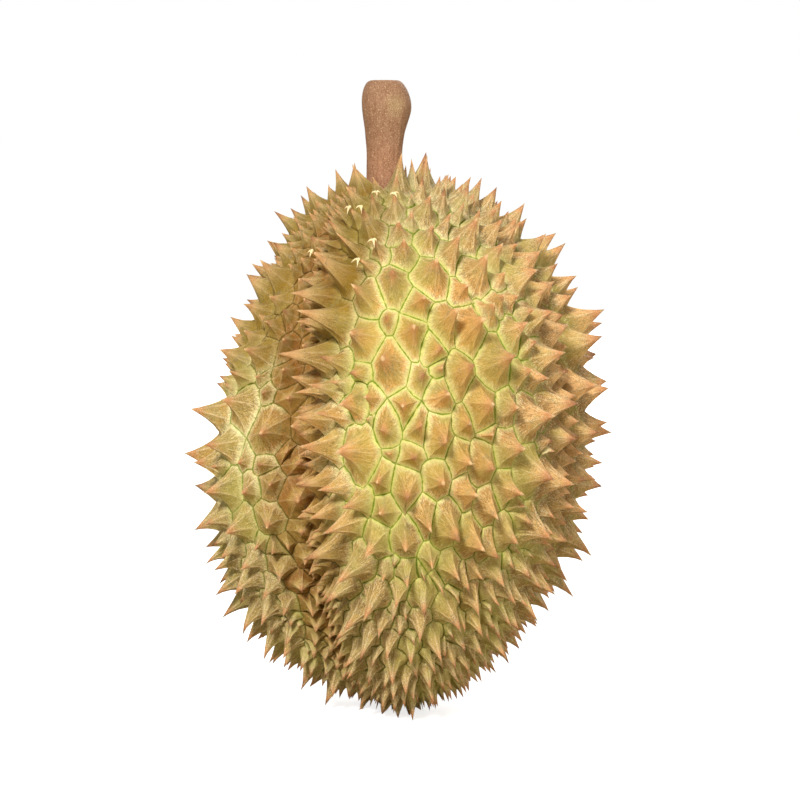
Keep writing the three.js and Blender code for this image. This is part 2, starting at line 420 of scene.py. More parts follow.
def set_out(tree):
    """Place each node one column right of the last node that feeds it."""
    column = {node: 0 for node in tree.nodes}
    for _ in range(len(tree.nodes)):
        moved = False
        for link in tree.links:
            if column[link.to_node] <= column[link.from_node]:
                column[link.to_node] = column[link.from_node] + 1
                moved = True
        if not moved:
            break
    filled = {}
    for node in tree.nodes:
        row = filled.get(column[node], 0)
        node.location = (column[node] * NODE_COLUMN, -row * NODE_ROW)
        filled[column[node]] = row + 1


def set_inputs(modifier, values):
    """Set a Geometry Nodes modifier's inputs by their identifiers."""
    for item in modifier.node_group.interface.items_tree:
        if item.item_type == "SOCKET" and item.in_out == "INPUT" and item.name in values:
            modifier[item.identifier] = values[item.name]


# ---------------------------------------------------------------- meshes


def keep_result(work, name, material):
    """Turn a worked object's evaluated shape into a plain mesh object and clear the work away."""
    bpy.context.view_layer.update()
    evaluated = work.evaluated_get(bpy.context.evaluated_depsgraph_get())
    mesh = bpy.data.meshes.new_from_object(evaluated)
    mesh.name = name
    old = work.data
    bpy.data.objects.remove(work)
    bpy.data.meshes.remove(old)
    piece = bpy.data.objects.new(name, mesh)
    bpy.context.scene.collection.objects.link(piece)
    mesh.materials.clear()
    mesh.materials.append(material)
    return piece


def write_points(name, columns):
    """Make a mesh of loose points that carry the given columns of numbers or vectors."""
    first = next(iter(columns.values()))
    mesh = bpy.data.meshes.new(name)
    mesh.vertices.add(len(first))
    for label, values in columns.items():
        if isinstance(values[0], Vector):
            layer = mesh.attributes.new(label, "FLOAT_VECTOR", "POINT")
            layer.data.foreach_set("vector", [part for value in values for part in value])
        else:
            layer = mesh.attributes.new(label, "FLOAT", "POINT")
            layer.data.foreach_set("value", values)
    work = bpy.data.objects.new(name, mesh)
    bpy.context.scene.collection.objects.link(work)
    return work


# ---------------------------------------------------------------- thorns


@dataclass
class Thorn:
    """One thorn: the corners of its foot in turn, their middle, its tip and the way it faces."""

    corners: list
    middle: Vector
    tip: Vector
    outward: Vector
    is_seat: bool = False
    is_torn: bool = False
    sunken: float = 0.0


@dataclass
class Socket:
    """The hole that the stalk stands in."""

    middle: Vector
    radius: float
    floor: float


def find_socket(stalk):
    """Work out the socket from the stalk's foot."""
    spots = [vertex.co for vertex in stalk.data.vertices]
    lowest = min(spot.z for spot in spots)
    foot = [spot for spot in spots if spot.z < lowest + FOOT_SLACK]
    across = [spot.x for spot in foot]
    back = [spot.y for spot in foot]
    middle = Vector(((min(across) + max(across)) / 2, (min(back) + max(back)) / 2, lowest))
    radius = max(math.hypot(spot.x - middle.x, spot.y - middle.y) for spot in foot)
    return Socket(middle, radius, lowest)


def border_of(faces):
    """Chain the edges round a patch of faces into one loop, in the faces' own turning sense."""
    inside = set(faces)
    step = {}
    for face in faces:
        for loop in face.loops:
            if any(other not in inside for other in loop.edge.link_faces):
                step[loop.vert] = loop.link_loop_next.vert
    start = max(step, key=lambda vertex: vertex.co.z)
    chain = [start]
    while step[chain[-1]] is not start:
        chain.append(step[chain[-1]])
        if len(chain) > len(step):
            raise RuntimeError("a thorn's foot isn't one closed loop")
    return chain


def facing(corners):
    """Give the way a ring of corners faces."""
    way = Vector()
    for here, there in zip(corners, corners[1:] + corners[:1]):
        way += here.cross(there)
    return way.normalized()


def read_thorn(faces, is_seat):
    """Read one thorn from its patch of faces."""
    border = border_of(faces)
    corners = [vertex.co.copy() for vertex in border]
    middle = sum(corners, Vector()) / len(corners)
    outward = facing([corner - middle for corner in corners])
    rim = set(border)
    inner = [v.co for face in faces for v in face.verts if v not in rim]
    if is_seat:
        return Thorn(corners, middle, middle, outward, True)
    cut = [spot for spot in inner if spot.z < WELD]
    if cut:
        end = sum(cut, Vector()) / len(cut)
        tip = middle + (end - middle) * CUT_TIP_OVERSHOOT
    else:
        tip = max(inner, key=lambda spot: (spot - middle).length).copy()
    return Thorn(corners, middle, tip, outward)


def read_thorns(rind, socket):
    """Split the rind along its valleys and read every thorn."""
    shape = bmesh.new()
    shape.from_mesh(rind.data)
    bmesh.ops.remove_doubles(shape, verts=shape.verts, dist=WELD)
    reach = socket.radius + SOCKET_MARGIN

    def in_socket(vertex):
        spot = vertex.co - socket.middle
        return vertex.co.z > socket.floor - SOCKET_SINK and math.hypot(spot.x, spot.y) < reach

    def in_valley(edge):
        return edge.calc_face_angle_signed(0) < VALLEY_FOLD

    def at_foot(vertex):
        return in_socket(vertex) or any(in_valley(edge) for edge in vertex.link_edges)

    seat = [
        face for face in shape.faces
        if any(in_socket(vertex) for vertex in face.verts) and all(at_foot(vertex) for vertex in face.verts)
    ]
    thorns = [read_thorn(seat, True)]
    taken = set(seat)
    for start in shape.faces:
        if start in taken:
            continue
        taken.add(start)
        patch = [start]
        for face in patch:
            for edge in face.edges:
                if in_valley(edge):
                    continue
                for other in edge.link_faces:
                    if other not in taken:
                        taken.add(other)
                        patch.append(other)
        thorns.append(read_thorn(patch, False))
    shape.free()
    mark_sunken(thorns)
    return thorns


def mark_sunken(thorns):
    """Work out how far each thorn stands below the ones round it, as in the grooves between lobes."""
    tree = KDTree(len(thorns))
    for index, thorn in enumerate(thorns):
        tree.insert(thorn.middle, index)
    tree.balance()
    for thorn in thorns:
        climbs = []
        for spot, index, distance in tree.find_range(thorn.middle, NEIGHBOURHOOD):
            if distance > 0 and thorns[index].outward.dot(thorn.outward) > SAME_SIDE:
                climbs.append((spot - thorn.middle).dot(thorn.outward) / distance)
        thorn.sunken = sum(climbs) / max(1, len(climbs))


def ease(value, start, end):
    """Ease from 0 at the start to 1 at the end."""
    part = min(1.0, max(0.0, (value - start) / (end - start)))
    return part * part * (3 - 2 * part)


def lean_over_groove(thorns, stretch, lean):
    """Lengthen the thorns on the brow of the deep groove and lean them over it."""
    for thorn in thorns:
        level = thorn.middle.z
        groove = GROOVE_HIGH_X * ease(level, *GROOVE_HIGH) + GROOVE_LOW_X * ease(level, *GROOVE_LOW)
        brow = 1 - abs(thorn.middle.x - GROOVE_X - groove - BROW_OUT) / BROW_OUT
        if thorn.is_seat or brow <= 0 or thorn.middle.y > 0:
            continue
        brow *= ease(level, *BROW_FOOT) * ease(level, *BROW_HEAD)
        thorn.tip += (thorn.tip - thorn.middle) * stretch * brow
        thorn.tip.x -= lean * brow


def grow_thorns(look):
    """Give the stalk's socket, and the thorns with the brow leaned over and the torn ones marked."""
    socket = find_socket(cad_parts[STALK_NODE])
    thorns = read_thorns(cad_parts[RIND_NODE], socket)
    lean_over_groove(thorns, look.brow_stretch, look.brow_lean)
    whole = [thorn for thorn in thorns if not thorn.is_seat]
    for place in TORN_PLACES:
        nearest = min(whole, key=lambda thorn: (thorn.tip - Vector(place)).length)
        nearest.is_torn = True
    return socket, thorns


def side_pattern(name, bank_columns, upper_rows):
    """Make the flat pattern of one thorn side, row by row from its foot to the tip."""
    # Each row has its places across, its steps over the bank and its share of the way to the tip.
    rows = [(SIDE_COLUMNS, 0.0, 0.0), (bank_columns, 1.0, 0.0), (UPPER_COLUMNS, BANK_TOP, 0.0)]
    rows += [(UPPER_COLUMNS, 0.0, inward) for inward in upper_rows]
    rows += [((0.5,), 0.0, 1.0)]
    across = []
    steps = []
    inwards = []
    numbers = []
    for columns, step, inward in rows:
        numbers.append([len(across) + place for place in range(len(columns))])
        across += columns
        steps += [step] * len(columns)
        inwards += [inward] * len(columns)
    faces = []
    for near, far in zip(numbers, numbers[1:]):
        if len(near) == len(far):
            faces += [(near[i], near[i + 1], far[i + 1], far[i]) for i in range(len(near) - 1)]
        elif len(far) == 1:
            faces += [(near[i], near[i + 1], far[0]) for i in range(len(near) - 1)]
        else:
            # from the five places of the foot to three
            faces.append((near[0], near[1], far[0]))
            faces.append((near[1], near[2], far[1], far[0]))
            faces.append((near[2], near[3], far[2], far[1]))
            faces.append((near[3], near[4], far[2]))
    mesh = bpy.data.meshes.new(name)
    mesh.from_pydata(list(zip(across, steps, inwards)), [], faces)
    for label, values in (("across", across), ("bank_step", steps), ("inward_row", inwards)):
        layer = mesh.attributes.new(label, "FLOAT", "POINT")
        layer.data.foreach_set("value", values)
    pattern = bpy.data.objects.new(name, mesh)
    bpy.context.scene.collection.objects.link(pattern)
    return pattern


def side_columns(thorns):
    """List every side of every thorn with all that its shape needs."""
    columns = {
        label: [] for label in (
            "foot_start", "foot_end", "foot_middle", "tip", "outward", "way_start", "way_end",
            "girth", "number", "sunken", "seat", "whole",
        )
    }
    for number, thorn in enumerate(thorns):
        count = len(thorn.corners)
        aside = (thorn.corners[0] - thorn.middle).cross(thorn.outward).normalized()
        ahead = thorn.outward.cross(aside)
        ways = []
        for corner in thorn.corners:
            flat = corner - thorn.middle
            ways.append(Vector((flat.dot(ahead), -flat.dot(aside), 0)).normalized())
        reaches = []
        for start, end in zip(thorn.corners, thorn.corners[1:] + thorn.corners[:1]):
            reaches.append((end - start).cross(thorn.middle - start).length / (end - start).length)
        girth = sum(reaches) / count
        for here in range(count):
            there = (here + 1) % count
            columns["foot_start"].append(thorn.corners[here])
            columns["foot_end"].append(thorn.corners[there])
            columns["foot_middle"].append(thorn.middle)
            columns["tip"].append(thorn.tip)
            columns["outward"].append(thorn.outward)
            columns["way_start"].append(ways[here])
            columns["way_end"].append(ways[there])
            columns["girth"].append(girth)
            columns["number"].append(float(number))
            columns["sunken"].append(thorn.sunken)
            columns["seat"].append(1.0 if thorn.is_seat else 0.0)
            columns["whole"].append(0.0 if thorn.is_torn else 1.0)
    return columns


def thorn_tree():
    """Build the nodes that set a side pattern on each side of each thorn and bend it to shape."""
    tree, given = new_group(
        "Durian thorns", "GeometryNodeTree",
        [
            ("Sides", "NodeSocketGeometry", None),
            ("Fine pattern", "NodeSocketObject", None),
            ("Plain pattern", "NodeSocketObject", None),
            ("Fine girth", "NodeSocketFloat", 0.004),
            ("Material", "NodeSocketMaterial", None),
            ("Bank width", "NodeSocketFloat", 0.0006),
            ("Bank height", "NodeSocketFloat", 0.0008),
            ("Valley waver", "NodeSocketFloat", 0.0012),
            ("Flare", "NodeSocketFloat", 1.8),
            ("Low flare", "NodeSocketFloat", 0.25),
            ("Bulge", "NodeSocketFloat", 0.03),
            ("Roundness", "NodeSocketFloat", 0.25),
            ("Bend", "NodeSocketFloat", 1.7),
            ("Curl", "NodeSocketFloat", 0.16),
            ("Seat middle", "NodeSocketVector", None),
            ("Seat radius", "NodeSocketFloat", 0.0097),
            ("Seat depth", "NodeSocketFloat", 0.01),
            ("Atlas rows", "NodeSocketFloat", 26.0),
            ("Seed", "NodeSocketInt", 7),
        ],
        [("Rind", "NodeSocketGeometry")],
    )
    loose = lay_patterns(tree, given)
    side = read_side(tree, given)
    shape = thorn_shape(tree, given, side)
    spot = blend(shape, seat_shape(tree, given, side), read_number(tree, "seat"))
    spot = spot.highest(tuple(BOX_LOW)).lowest(tuple(BOX_HIGH))
    bent = add(tree, "GeometryNodeSetPosition", {"Geometry": loose, "Position": spot})
    marked = mark_skin(tree, given, side, bent)
    welded = add(tree, "GeometryNodeMergeByDistance", {"Geometry": marked, "Distance": WELD})
    level = read_number(tree, "inward")
    valley = 1 - level.above(0.0001)
    ridge = read_number(tree, "on_crest").above(0.99) * level.above(0.2)
    creased = store(welded, "sharp_edge", valley.highest(ridge), "BOOLEAN", "EDGE")
    smooth = add(tree, "GeometryNodeSetShadeSmooth", {"Geometry": creased, "Shade Smooth": True})
    whole = add(tree, "GeometryNodeRealizeInstances", {"Geometry": smooth})
    painted = add(tree, "GeometryNodeSetMaterial", {"Geometry": whole, "Material": given["Material"]})
    end_group(tree, Rind=painted)
    return tree


def lay_patterns(tree, given):
    """Lay the fine pattern on the sides of stout thorns and the plain one on those of small thorns."""
    is_fine = read_number(tree, "girth").above(given["Fine girth"])
    sets = []
    for socket, wanted in (("Fine pattern", is_fine), ("Plain pattern", 1 - is_fine)):
        pattern = add(tree, "GeometryNodeObjectInfo", {"Object": given[socket]}, "Geometry")
        inputs = {"Points": given["Sides"], "Instance": pattern, "Selection": wanted}
        sets.append(add(tree, "GeometryNodeInstanceOnPoints", inputs))
    joined = tree.nodes.new("GeometryNodeJoinGeometry")
    for placed in reversed(sets):
        plug(tree, placed, joined.inputs["Geometry"])
    return add(tree, "GeometryNodeRealizeInstances", {"Geometry": Wire(tree, joined.outputs["Geometry"])})


@dataclass
class Side:
    """What each corner of a laid pattern knows of its side and its thorn."""

    across: Wire        # place along the side's edge, from its first corner to its second
    swell: Wire         # 0 at both corners and 1 halfway
    edge: Wire          # the way from corner to corner
    foot: Wire          # the spot on the wavering edge
    middle: Wire        # middle of the thorn's foot
    crest: Wire         # 1 on the ridge that two sides share, otherwise 0
    reach: Wire         # from the edge to the middle of the foot
    girth: Wire         # the thorn's own mean reach
    bank_step: Wire     # the row on the bank
    raised: Wire        # 1 above the bank, otherwise 0
    inward: Wire        # share of the way from the edge to the tip, seen from above
    outer: Wire         # what is left of it
    height: Wire        # share of the thorn's height
    number: Wire        # the thorn's number
    luck: Wire          # the thorn's own chance


def read_side(tree, given):
    """Read what the points carry and work out where each corner of the pattern lies on its thorn."""
    across = read_number(tree, "across")
    start = read_vector(tree, "foot_start")
    end = read_vector(tree, "foot_end")
    middle = read_vector(tree, "foot_middle")
    girth = read_number(tree, "girth")
    bank_step = read_number(tree, "bank_step")
    inward_row = read_number(tree, "inward_row")
    number = read_number(tree, "number")

    crest = 1 - rise((across - 0.5).combine("ABSOLUTE"), 0.49, 0.4999, 1, 0, "LINEAR")
    swell = across * (1 - across) * 4
    edge = end - start
    reach = edge.cross(middle - start).size() / edge.size()
    bank = (bank_step * given["Bank width"] / blend(reach, girth, crest)).lowest(bank_step * BANK_LIMIT)
    inward = inward_row + bank
    low = rise(middle.part("Z"), *LOW_THORNS)
    flare_luck = (chance(tree, number, 3) - 0.5) * FLARE_SPREAD
    height = inward ** (given["Flare"] + low * given["Low flare"] + flare_luck)
    foot = blend(start, end, across) + valley_waver(tree, start, end) * swell * given["Valley waver"]
    return Side(
        across=across, swell=swell, edge=edge, foot=foot, middle=middle, crest=crest, reach=reach,
        girth=girth, bank_step=bank_step, raised=inward_row.above(0.01), inward=inward,
        outer=1 - inward, height=height, number=number, luck=chance(tree, number, given["Seed"]),
    )


def valley_waver(tree, start, end):
    """Give the way that a valley line strays between two corners, along the husk."""
    halfway = (start + end) * 0.5
    push = grain(tree, halfway, WAVERS_PER_METRE, 1.0, output=1) - (0.5, 0.5, 0.5)
    away = (halfway - HUSK_MIDDLE).unit()
    return (push - away * push.dot(away)) * WAVER_GAIN


def thorn_shape(tree, given, side):
    """Bend a pattern to one side of a thorn: hollow outline, swelling face, leaning and hooked tip."""
    height = side.height
    spoke = side.foot - side.middle
    rounding = blend(1.0, side.girth / spoke.size(), height * given["Roundness"])
    face_luck = chance(tree, side.number * 7.3 + side.edge.part("X") * 900, 5)
    bulge = given["Bulge"] - face_luck * BULGE_SPREAD
    plump = 1 + bulge * side.swell * side.inward * side.outer * 4
    rib = spoke * side.outer * rounding * plump

    outward = read_vector(tree, "outward")
    climb = read_vector(tree, "tip") - side.middle
    straight = outward * climb.dot(outward)
    lean = climb - straight
    twist = chance(tree, side.number, given["Seed"], "Color") - (0.5, 0.5, 0.5)
    sideways = twist.cross(climb.unit())
    hooked = rise(side.luck, *HOOK_SHARE) * read_number(tree, "whole")
    hook = sideways * climb.size() * given["Curl"] * hooked * height ** HOOK_POWER
    spine = straight * height + lean * height ** given["Bend"] + hook

    lift = given["Bank height"] * rise(side.bank_step, 0, BANK_TOP, 0, 1, "LINEAR") ** 0.6
    lift = lift + given["Bank height"] * side.raised * side.outer
    return side.middle + spine + rib + outward * lift


def seat_shape(tree, given, side):
    """Bend a pattern to the stalk's seat instead: a lip, a wall and the socket's floor."""
    round_way = ((side.foot - given["Seat middle"]) * (1, 1, 0)).unit()
    radius = given["Seat radius"] * rise(side.inward, SEAT_WALL, 1, 1, 0, "LINEAR")
    wall = given["Seat middle"] + round_way * radius
    hole = blend(side.foot, wall, rise(side.inward, 0, SEAT_LIP, 0, 1, "LINEAR"))
    sink = given["Seat depth"] * rise(side.inward, SEAT_LIP, SEAT_WALL, 0, 1, "LINEAR")
    return hole - add(tree, "ShaderNodeCombineXYZ", {"Z": sink})


def mark_skin(tree, given, side, shape):
    """Store on the bent sides what the skin's paint and the flat map need."""
    way = blend(read_vector(tree, "way_start"), read_vector(tree, "way_end"), side.across)
    rows = given["Atlas rows"]
    cell = add(tree, "ShaderNodeCombineXYZ", {
        "X": side.number.combine("FLOORED_MODULO", rows) + 0.5,
        "Y": (side.number / rows).combine("FLOOR") + 0.5,
    })
    shift = add(tree, "ShaderNodeCombineXYZ", {"Z": side.inward * 0.5 + side.luck * 40})
    ridge_gap = side.across.lowest(1 - side.across) * side.edge.size() * side.outer
    shape = store(shape, "bank", side.inward * side.reach)
    shape = store(shape, "crest", ridge_gap)
    shape = store(shape, "height", side.height)
    shape = store(shape, "fibre", way.unit() + shift, "FLOAT_VECTOR")
    shape = store(shape, "thorn", side.luck, "FLOAT", "FACE")
    shape = store(shape, "hollow", read_number(tree, "sunken"), "FLOAT", "FACE")
    shape = store(shape, "OFBake", (cell + way * side.outer * ATLAS_FILL) / rows, "FLOAT2")
    shape = store(shape, "inward", side.inward, "FLOAT", "POINT")
    return store(shape, "on_crest", side.crest, "FLOAT", "POINT")


def clear_layers(mesh, kept):
    """Remove the working layers that the finished mesh doesn't need."""
    names = [layer.name for layer in mesh.attributes if not layer.is_required and not layer.is_internal]
    for name in names:
        if name not in kept and name not in {"material_index", "sharp_face"}:
            mesh.attributes.remove(mesh.attributes[name])


# ---------------------------------------------------------------- shared finishes


def speckle_group():
    """Build the fine specks that the rind and the stalk both carry."""
    name = "Fine specks"
    if name in bpy.data.node_groups:
        return bpy.data.node_groups[name]
    tree, given = new_group(
        name, "ShaderNodeTree",
        [
            ("Place", "NodeSocketVector", None),
            ("Specks per metre", "NodeSocketFloat", 900.0),
            ("Dark share", "NodeSocketFloat", 0.4),
            ("Pale share", "NodeSocketFloat", 0.3),
        ],
        [("Dark", "NodeSocketFloat"), ("Pale", "NodeSocketFloat"), ("Grain", "NodeSocketFloat")],
    )
    fine = grain(tree, given["Place"], given["Specks per metre"], 3.0, 0.65)
    broad = grain(tree, given["Place"], given["Specks per metre"] * 0.13, 2.0, 0.5)
    other = grain(tree, given["Place"] + (0.3, 0.7, 0.1), given["Specks per metre"] * 1.3, 2.0, 0.6)
    level = fine * 0.75 + broad * 0.25
    dark = rise(level, 0.5, 0.38) * given["Dark share"]
    pale = rise(other, 0.56, 0.68) * given["Pale share"]
    end_group(tree, Dark=dark, Pale=pale, Grain=fine)
    return tree


def streak_group():
    """Build the fibres that run down the thorns, the torn tips and the stalk."""
    name = "Fibre streaks"
    if name in bpy.data.node_groups:
        return bpy.data.node_groups[name]
    tree, given = new_group(
        name, "ShaderNodeTree",
        [
            ("Along", "NodeSocketVector", None),
            ("Fineness", "NodeSocketFloat", 8.0),
        ],
        [("Streak", "NodeSocketFloat"), ("Dark", "NodeSocketFloat"), ("Pale", "NodeSocketFloat")],
    )
    streak = grain(tree, given["Along"], given["Fineness"], 3.0, 0.6)
    dark = rise(streak, 0.5, 0.36)
    pale = rise(streak, 0.53, 0.66)
    end_group(tree, Streak=streak, Dark=dark, Pale=pale)
    return tree


def place_group(tree, group, inputs):
    """Place a shared group in a material and give back its outputs by name."""
    node = tree.nodes.new("ShaderNodeGroup")
    node.node_tree = group
    for key, value in inputs.items():
        plug(tree, value, node.inputs[key])
    return {socket.name: Wire(tree, socket) for socket in node.outputs}


def new_material(name):
    """Start a material with its surface shader."""
    material = bpy.data.materials.new(name)
    material.use_nodes = True
    tree = material.node_tree
    tree.nodes.clear()
    surface = tree.nodes.new("ShaderNodeBsdfPrincipled")
    leave = tree.nodes.new("ShaderNodeOutputMaterial")
    tree.links.new(surface.outputs["BSDF"], leave.inputs["Surface"])
    return material, tree, surface


def shade(tone):
    """Give a colour property as the four numbers that a colour input takes."""
    return (tone[0], tone[1], tone[2], 1.0)


def coat(tone, coats):
    """Lay coats over a tone in turn, each a plain colour or a tone of its own, where its mask is."""
    for layer, mask in coats:
        tone = blend(tone, layer if isinstance(layer, Wire) else shade(layer), mask)
    return tone


@dataclass
class Skin:
    """What the rind's paint reads at each spot."""

    tree: bpy.types.NodeTree
    place: Wire
    across: Wire
    level: Wire
    bank: Wire          # from the valley line
    crest: Wire         # from the nearest ridge
    height: Wire        # share of the thorn's height
    thorn: Wire         # the thorn's own chance
    hollow: Wire        # how sunken the thorn stands
    blotch: Wire
    waver: Wire
    specks: dict
    fibres: dict


@dataclass
class Zones:
    """Masks of the zones of the rind, each 1 where it is full."""

    low: Wire
    crown: Wire
    left: Wire
    right: Wire
    upper_left: Wire
    # the middle of the front: a painted pool of light, with less scurf and more green
    centre_glow: Wire
    groove: Wire        # all that lies sunken
    cleft: Wire         # the deep groove
    dim: Wire           # where little light comes, and where the painted shade goes
    sheltered: Wire     # the feet of the thorns there, where the painted shade lies


def read_skin(tree):
    """Read the rind's stored marks and add the noises that its paint shares."""
    def read(name, output="Fac"):
        return add(tree, "ShaderNodeAttribute", {}, output, attribute_name=name)

    place = add(tree, "ShaderNodeTexCoord", {}, "Object")
    return Skin(
        tree=tree, place=place, across=place.part("X"), level=place.part("Z"), bank=read("bank"),
        crest=read("crest"), height=read("height"), thorn=read("thorn"), hollow=read("hollow"),
        blotch=grain(tree, place, BLOTCHES, 3.0, 0.6), waver=grain(tree, place, WAVES, 2.0, 0.6),
        specks=place_group(tree, speckle_group(), {
            "Place": place, "Specks per metre": RIND_SPECKS, "Dark share": 1.0, "Pale share": 1.0,
        }),
        fibres=place_group(tree, streak_group(), {
            "Along": read("fibre", "Vector"), "Fineness": FIBRES_PER_THORN,
        }),
    )


def rind_zones(skin):
    """Divide the rind into its zones."""
    level = skin.level
    across = skin.across
    blotch = skin.blotch
    front = skin.place.part("Y")
    groove = rise(skin.hollow, -0.2, 0.05)
    upper_left = rise(across - level * UPPER_LEFT_SLOPE + blotch * 0.014, *UPPER_LEFT_ZONE)
    upper_left = upper_left * rise(level, *UPPER_LEFT_LEVELS)
    line = rise(level, *GROOVE_HIGH, GROOVE_X, GROOVE_X + GROOVE_HIGH_X)
    line = line + rise(level, *GROOVE_LOW, 0, GROOVE_LOW_X)
    cleft = rise((across - line + blotch * 0.022 - 0.011).combine("ABSOLUTE"), *CLEFT_ZONE)
    cleft = cleft * rise(front, 0, -0.01) * rise(level, *CLEFT_LEVELS) * rise(skin.hollow, -0.26, -0.1)
    # The middle of the broad lobe, where a pool of light is painted
    centre_glow = rise((across - CENTRE_X + blotch * 0.02 - 0.01).combine("ABSOLUTE"), *CENTRE_ZONE)
    centre_glow = centre_glow * rise(level, *CENTRE_FOOT) * rise(level, *CENTRE_HEAD) * rise(front, 0, -0.03)
    return Zones(
        low=rise(level + blotch * 0.03, *LOW_ZONE), crown=rise(level, *CROWN_ZONE),
        left=rise(across, *LEFT_ZONE), right=rise(across + blotch * 0.02, *RIGHT_ZONE),
        upper_left=upper_left, centre_glow=centre_glow, groove=groove, cleft=cleft,
        dim=groove.highest(cleft).highest(upper_left), sheltered=1 - rise(skin.height, 0.08, 0.38) * 0.88,
    )


def face_tone(look, skin, zones):
    """Paint the thorns' faces zone by zone, with painted shade in the grooves, high on the left and between
    crowded thorns, painted light on the thorn tops there and pale ridges that are partly a painted
    highlight.
    """
    height = skin.height
    olive = zones.left * 0.12 + zones.low * 0.06 + zones.crown * 0.08
    olive = rise(grain(skin.tree, skin.place, OLIVE_PATCHES, 3.0, 0.6) + olive, 0.48, 0.66)
    # Painted shade: the pale foot fades out where little light comes
    foot = rise(skin.bank + skin.waver * BAND_WAVER, *PALE_FOOT) * (1 - zones.dim * 0.95)
    # Pale ridges: partly their own pale tan, partly a painted highlight, weaker in the middle of the front
    # and in the dim zones
    ridge = rise(skin.crest, *PALE_RIDGE_AND_HIGHLIGHT) * (0.5 - zones.centre_glow * 0.3 - zones.dim * 0.35)
    # Painted shade between the crowded thorns on the right, below and at the crown
    between = (zones.right * 0.85).highest(zones.low * 0.5).highest(zones.crown * 0.4)
    return coat(shade(look.face), (
        (look.warm_face, rise(skin.thorn + skin.blotch * 0.6, 0.5, 1.1)),
        (look.crown_face, zones.crown * 0.85),
        (look.left_face, zones.left * 0.6),
        (look.right_face, zones.right * 0.85),
        (look.low_face, zones.low * 0.85),
        # Painted shade: mustard brown on the feet of the sunken thorns, where shade falls between them
        (look.groove_shade, zones.groove * 0.9 * zones.sheltered),
        # Dark olive high on the left: partly the lobe's own olive, partly painted shade where the front
        # lobe shades it
        (look.upper_left_olive_shade, zones.upper_left * 0.8),
        # Painted shade: dark mustard on the feet of the thorns high on the left
        (look.mustard, zones.upper_left * zones.sheltered),
        # Painted shade: the same mustard brown on the feet of the thorns along the deep groove
        (look.groove_shade, zones.cleft * zones.sheltered),
        # Painted light: pale tan on the upper parts of the thorns in the dim zones, lit above the shade
        (look.sunlit_face, zones.dim * rise(height, 0.3, 0.7) * 0.6),
        (look.olive_face, olive * (0.5 - zones.dim * 0.4)),
        (look.margin, foot * (0.85 - zones.low * 0.5)),
        (look.ridge, ridge),
        # Painted shade: brown on the low parts of those thorns, where shade falls between them
        (look.deep, rise(height, 0.42, 0.05) * between),
    ))


def fibre_tone(look, skin, zones, tone):
    """Paint fibres, specks and stains on the faces, and the warm tips with their nubs, painted brighter in
    the middle of the front as painted light.
    """
    height = skin.height
    thorn = skin.thorn
    specks = skin.specks
    fibres = skin.fibres
    # Pale fibres, tips and flecks fade in the dim zones: painted shade
    dim = zones.dim
    scurfy = rise(skin.blotch + zones.right * 0.12 + zones.low * 0.1 + zones.crown * 0.05, 0.4, 0.62)
    tip = rise(height + skin.blotch * 0.2, 0.58, 0.94)
    # Painted light and shade: the tips are brighter in the middle of the front and darker on the sides
    tip_tone = blend(shade(look.shaded_side_tip), shade(look.tip), zones.centre_glow)
    point = rise(height + zones.centre_glow * 0.08, 0.84, 0.95) * rise(thorn, 0.1, 0.4)
    dried = rise(height, 0.6, 0.95) * rise(thorn, 0.22, 0.12)
    stain = rise(grain(skin.tree, skin.place, STAINS, 2.0, 0.5), 0.62, 0.7)
    stain = stain * rise(specks["Grain"], 0.62, 0.4)
    rough = 0.4 - zones.centre_glow * 0.25
    tone = coat(tone, (
        (look.scurf, fibres["Dark"] * (0.16 + scurfy * 0.26) * rise(height, 0.9, 0.4)),
        (look.dark_fibre, fibres["Dark"] * rise(height, 0.12, 0.5) * 0.3),
        (look.margin, fibres["Pale"] * rise(height, 0.6, 0.05) * (0.45 - dim * 0.4)),
        (tip_tone, tip * (0.85 - dim * 0.3)),
        (look.point, point * 0.9),
        (look.dry_point, dried * 0.7),
        (look.stain, stain * 0.6),
        (look.scurf, specks["Dark"] * (rough * 0.5 + scurfy * 0.28) * (1 - tip * 0.7)),
        (look.fleck, specks["Pale"] * (0.2 + rough) * (1 - dim * 0.8)),
    ))
    texture = rise(fibres["Streak"] * 0.55 + specks["Grain"] * 0.45, 0.3, 0.7, -1, 1, "LINEAR")
    return tone * (1 + texture * (0.14 + rough * 0.3))


def valley_tone(look, skin, zones, tone):
    """Paint the green that shows near the feet, the pale halo beside the valleys and the valley lines,
    which turn brown in the dim zones as painted shade.
    """
    # The green and the halo fade and the lines turn brown in the dim zones: painted shade
    dim = zones.dim
    green = rise(grain(skin.tree, skin.place, GREEN_PATCHES, 2.0, 0.5) + zones.centre_glow * 0.08, 0.46, 0.62)
    halo = rise(skin.bank + skin.waver * BAND_WAVER, *VALLEY_HALO) * rise(skin.blotch, 0.3, 0.6, 0.5, 1)
    line = rise(skin.bank + skin.waver * LINE_WAVER, *VALLEY_LINE)
    line_tone = coat(shade(look.valley), (
        (look.low_valley, zones.low * (1 - zones.centre_glow * 0.8)),
        # Painted shade: the valley lines turn brown where little light comes
        (look.valley_line_shade, dim),
    ))
    return coat(tone, (
        (look.green_face, green * rise(skin.height, 0.7, 0.15) * (0.45 - dim * 0.3)),
        # The halo is painted stronger in the middle of the front, as part of its painted light
        (look.halo, halo * (0.22 + zones.centre_glow * 0.5) * (1 - dim * 0.8)),
        (line_tone, line * 0.9),
    ))


